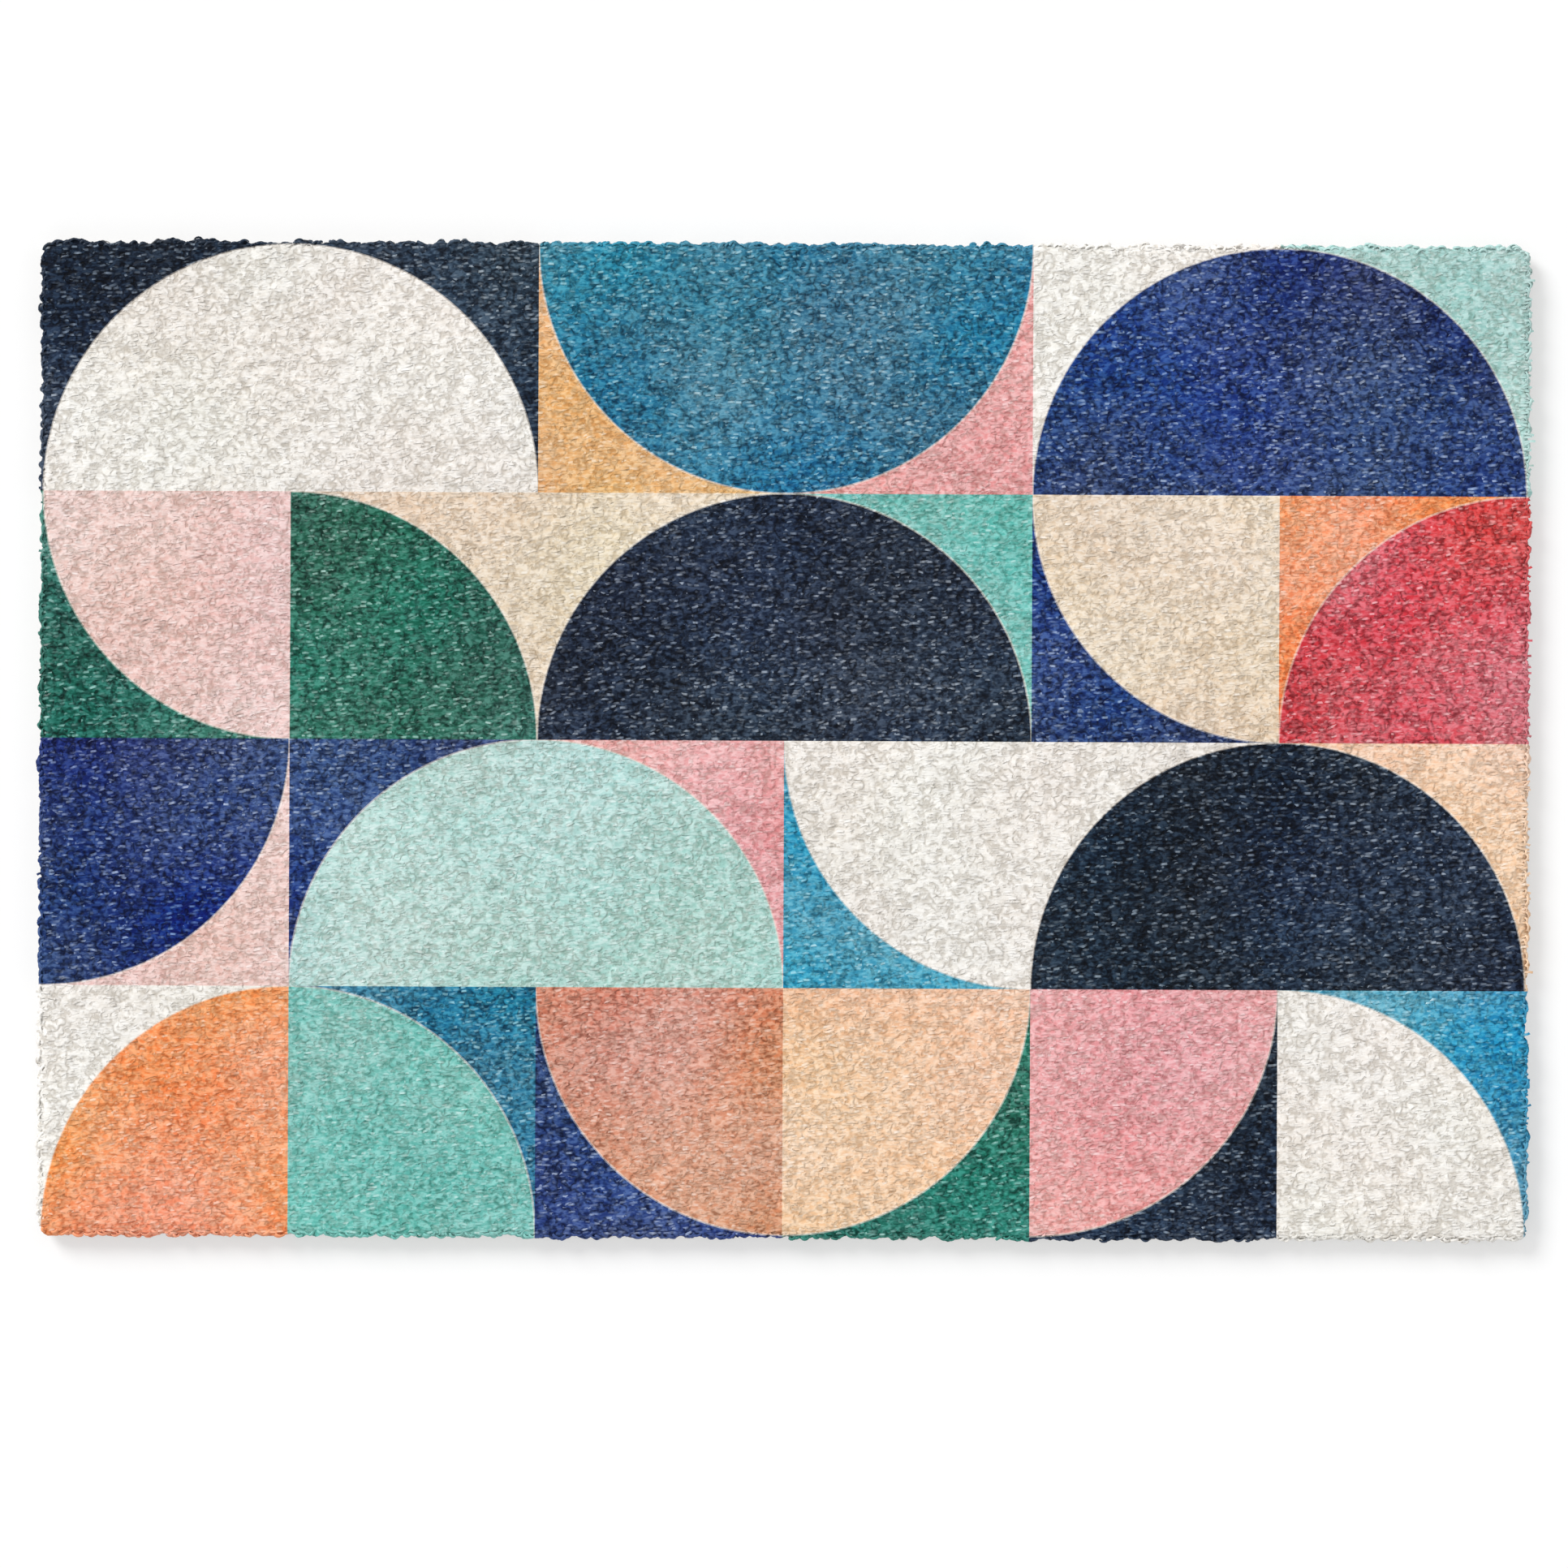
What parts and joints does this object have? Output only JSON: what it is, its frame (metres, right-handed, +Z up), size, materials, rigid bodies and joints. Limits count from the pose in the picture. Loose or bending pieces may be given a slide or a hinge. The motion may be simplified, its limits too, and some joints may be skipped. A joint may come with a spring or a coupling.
{
  "type": "doormat",
  "caption": "Flat rectangular doormat with a short looped pile over its whole top, small rounded corners and an unbound, slightly uneven rim; shoes are wiped on it.",
  "frame": {"origin": "middle of the flat underside, on the floor, centred under the box around the mat", "axes": "+X along the long side, +Y along the short side, +Z up out of the pile"},
  "size_m": [0.6084, 0.4078, 0.01],
  "materials": {
    "looped_pile": "printed looped pile of soft vinyl, satin, navy, teal, mint, cream, pink and orange"
  },
  "bodies": {
    "root": {"mat": "looped_pile"}
  },
  "joints": []
}
